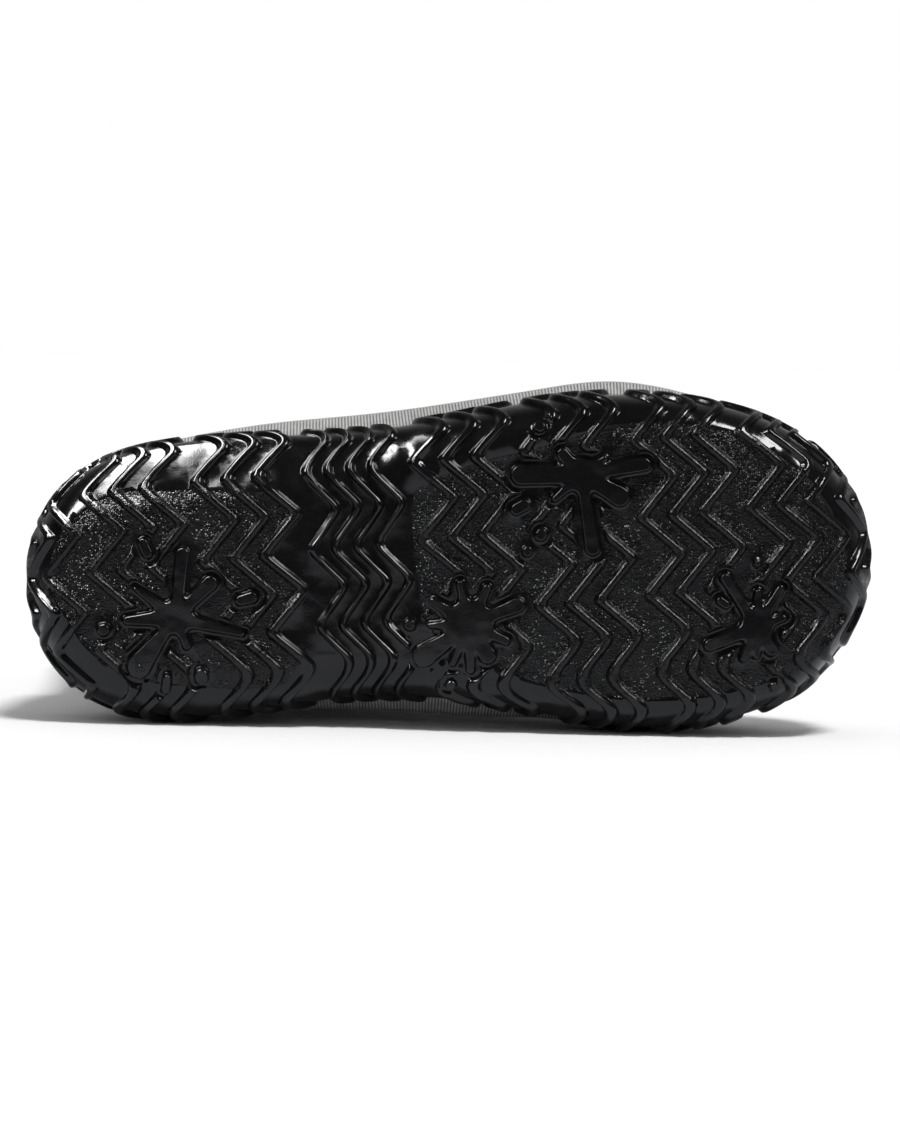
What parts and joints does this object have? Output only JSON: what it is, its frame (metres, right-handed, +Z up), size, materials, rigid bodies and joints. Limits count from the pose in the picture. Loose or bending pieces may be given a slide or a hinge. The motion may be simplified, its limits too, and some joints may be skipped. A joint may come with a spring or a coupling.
{
  "type": "wellington boot",
  "caption": "Child's short right wellington boot lying on its inner side, deep moulded black sole with zigzag ribs and splash shapes, textile upper open at the collar, loose insole",
  "frame": {"origin": "bottom centre of the bounding box, on the floor under the boot as it lies on its inner side", "axes": "+X from heel to toe, -Y out of the tread, +Z up, towards the outer side of the foot"},
  "size_m": [0.2048, 0.1684, 0.0844],
  "materials": {
    "sole": "black moulded rubber, polished sides and stippled tread",
    "upper": "grey ribbed textile, matt",
    "insole": "dark grey felt"
  },
  "bodies": {
    "root": {"sole": "sole", "upper": "upper", "insole": "insole"}
  },
  "joints": []
}
